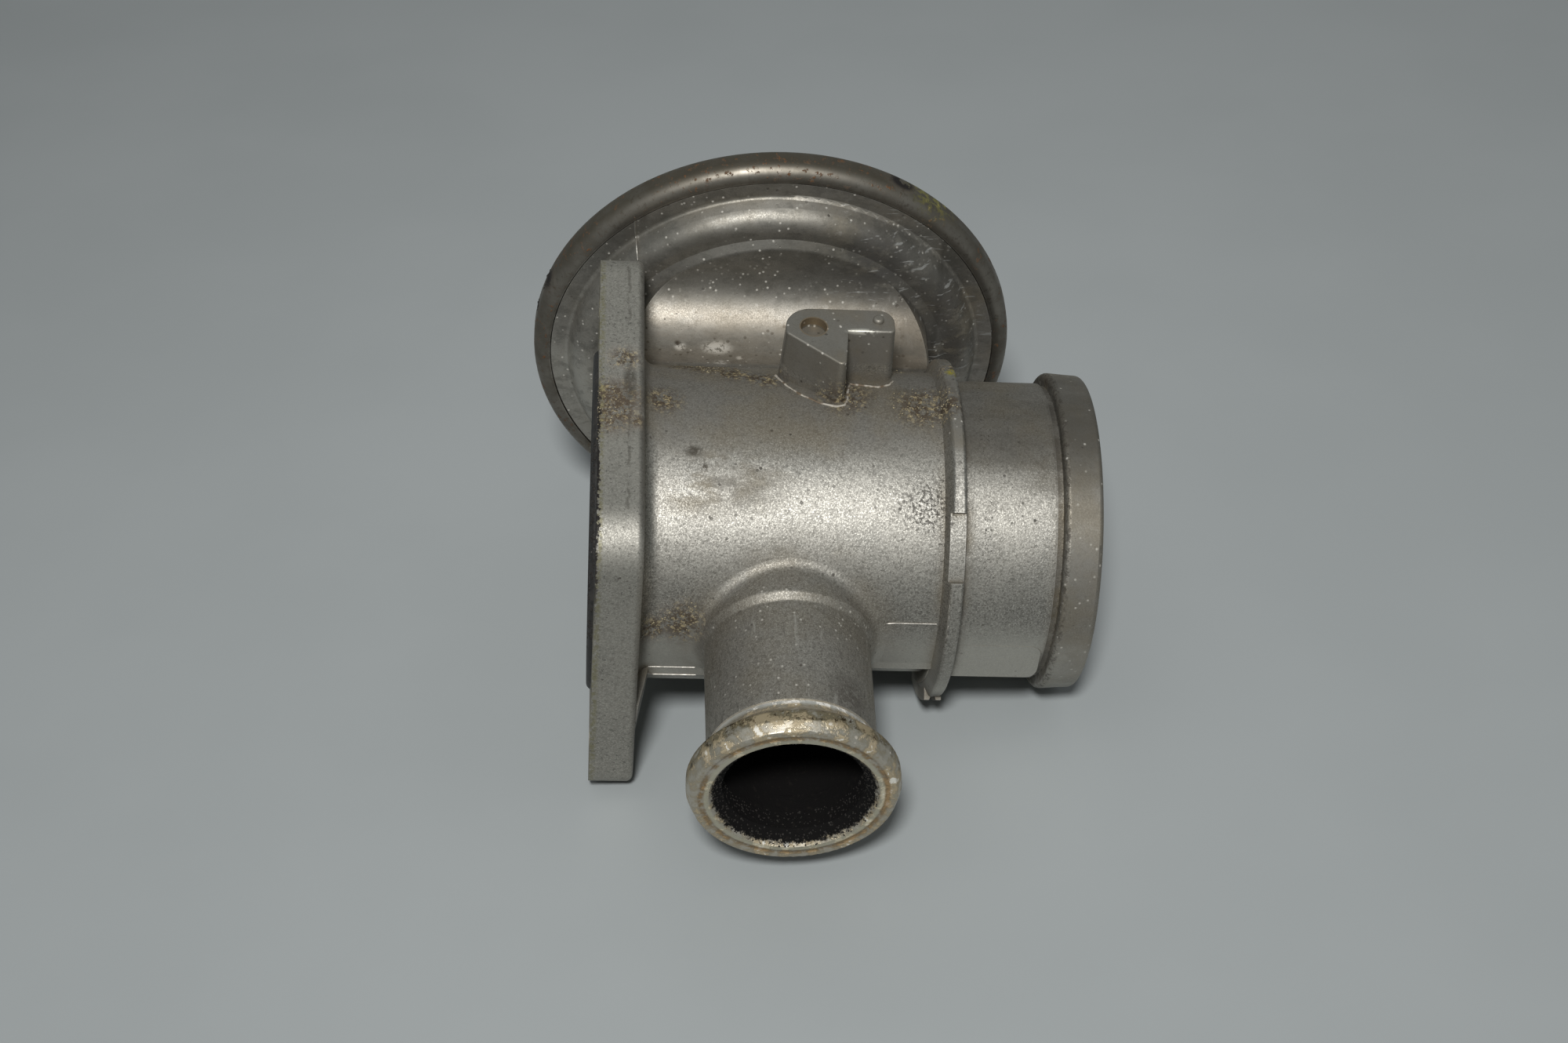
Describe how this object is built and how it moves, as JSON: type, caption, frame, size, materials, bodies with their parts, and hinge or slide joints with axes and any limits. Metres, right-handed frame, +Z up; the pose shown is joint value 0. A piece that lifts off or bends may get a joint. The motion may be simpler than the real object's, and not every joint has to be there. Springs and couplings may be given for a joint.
{
  "type": "egr valve",
  "caption": "Vacuum-operated exhaust gas recirculation valve: a cast through-duct with square flange and hose spigot, a side exhaust stub and a round diaphragm can that lifts a poppet.",
  "frame": {"origin": "centre of the manifold flange face, on the axis of the air duct", "axes": "+X along the duct from the flange to the hose spigot, +Y along the valve stem towards the diaphragm can, +Z up on the side of the sensor lug"},
  "size_m": [0.1111, 0.1645, 0.1024],
  "materials": {
    "cast_aluminium": "blasted as-cast, dirty",
    "seal_rubber": "sooty",
    "seat_steel": "machined, soot stained",
    "bush_bronze": "machined",
    "stainless_sheet": "pressed sheet",
    "seal_ptfe": "moulded",
    "plated_steel": "worn zinc plate",
    "diaphragm_rubber": "fabric backed",
    "spring_steel": "drawn wire",
    "vent_sinter": "porous",
    "nipple_brass": "turned"
  },
  "bodies": {
    "valve_body": {"housing": "cast_aluminium", "flange_seal": "seal_rubber", "seat_ring": "seat_steel", "stem_guide": "bush_bronze", "stem_scraper": "seat_steel", "soot_shield": "stainless_sheet", "stem_seal": "seal_ptfe", "seal_retainer": "plated_steel", "vent_filter": "vent_sinter", "diaphragm_cover": "plated_steel", "vacuum_nipple": "nipple_brass", "lift_stop": "seal_rubber", "diaphragm": "diaphragm_rubber", "return_spring": "spring_steel"},
    "valve_unit": {"valve_stem": "seat_steel", "poppet_head": "seat_steel", "stem_spacer": "plated_steel", "support_plate": "plated_steel", "piston_cup": "plated_steel", "lock_washer": "spring_steel", "stem_nut": "plated_steel"}
  },
  "joints": [
    {"name": "valve_lift", "type": "slide", "parent": "valve_body", "child": "valve_unit", "axis": [0, 1, 0], "range_m": [0, 0.007], "stiffness_N_per_m": 8600, "springref_m": -0.011, "deforming": ["return_spring", "diaphragm"]}
  ]
}
